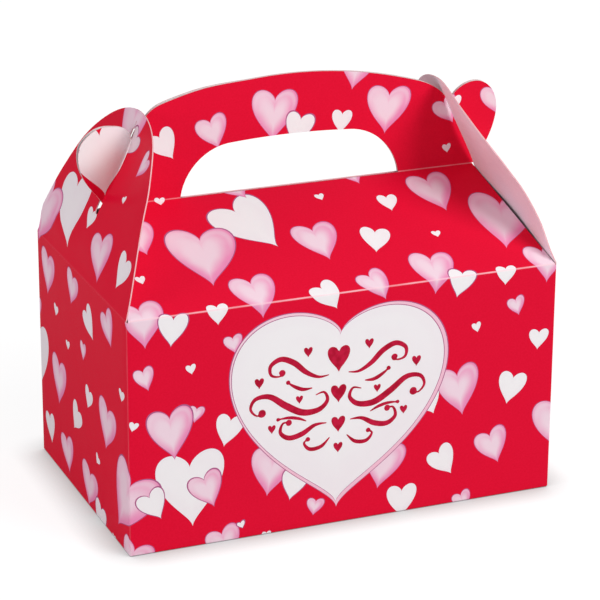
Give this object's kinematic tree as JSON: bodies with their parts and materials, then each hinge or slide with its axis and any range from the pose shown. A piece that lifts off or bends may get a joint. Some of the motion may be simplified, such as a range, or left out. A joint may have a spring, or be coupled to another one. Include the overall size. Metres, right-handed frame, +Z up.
{
  "type": "gable gift box",
  "caption": "Folded paperboard gable box with a scattered heart print, a carry handle, hooked handle ears and slotted end flaps that open the top.",
  "frame": {"origin": "on the floor under the middle of the box", "axes": "+X along the front wall to the right, +Y from the front wall to the back wall, +Z up"},
  "size_m": [0.16, 0.1, 0.1505],
  "materials": {
    "printed_front": "gloss coated print",
    "printed_end": "gloss coated print",
    "bare_board": "uncoated white board"
  },
  "bodies": {
    "carton": {"front_wall": "printed_front", "back_wall": "printed_front", "left_end_wall": "printed_end", "right_end_wall": "printed_end", "glue_tab": "bare_board", "bottom_main_flap": "printed_front", "bottom_left_flap": "printed_front", "bottom_right_flap": "printed_front", "bottom_tongue_flap": "printed_front"},
    "left_flap": {"left_end_flap": "printed_end"},
    "right_flap": {"right_end_flap": "printed_end"},
    "front_lid": {"front_roof": "printed_front"},
    "back_lid": {"back_roof": "printed_front"},
    "front_grip": {"front_handle": "printed_front"},
    "back_grip": {"back_handle": "printed_front"}
  },
  "joints": [
    {"name": "left_flap_swing", "type": "hinge", "parent": "carton", "child": "left_flap", "pos_m": [-0.08, 0, 0.086], "axis": [0, -1, 0], "range_deg": [0, 180]},
    {"name": "right_flap_swing", "type": "hinge", "parent": "carton", "child": "right_flap", "pos_m": [0.08, 0, 0.086], "axis": [0, 1, 0], "range_deg": [0, 180]},
    {"name": "front_roof_lift", "type": "hinge", "parent": "carton", "child": "front_lid", "pos_m": [0, -0.05, 0.086], "axis": [1, 0, 0], "range_deg": [0, 36]},
    {"name": "back_roof_lift", "type": "hinge", "parent": "carton", "child": "back_lid", "pos_m": [0, 0.05, 0.086], "axis": [-1, 0, 0], "range_deg": [0, 36]},
    {"name": "front_handle_fold", "type": "hinge", "parent": "front_lid", "child": "front_grip", "pos_m": [0, -0.0006, 0.1097], "axis": [-1, 0, 0], "range_deg": [0, 54]},
    {"name": "back_handle_fold", "type": "hinge", "parent": "back_lid", "child": "back_grip", "pos_m": [0, 0.0006, 0.1097], "axis": [1, 0, 0], "range_deg": [0, 54]}
  ],
  "couplings": [
    {"joint": "right_flap_swing", "follows": "left_flap_swing", "ratio": 1},
    {"joint": "front_roof_lift", "follows": "left_flap_swing", "ratio": 0.2},
    {"joint": "back_roof_lift", "follows": "left_flap_swing", "ratio": 0.2},
    {"joint": "front_handle_fold", "follows": "left_flap_swing", "ratio": 0.3},
    {"joint": "back_handle_fold", "follows": "left_flap_swing", "ratio": 0.3}
  ]
}
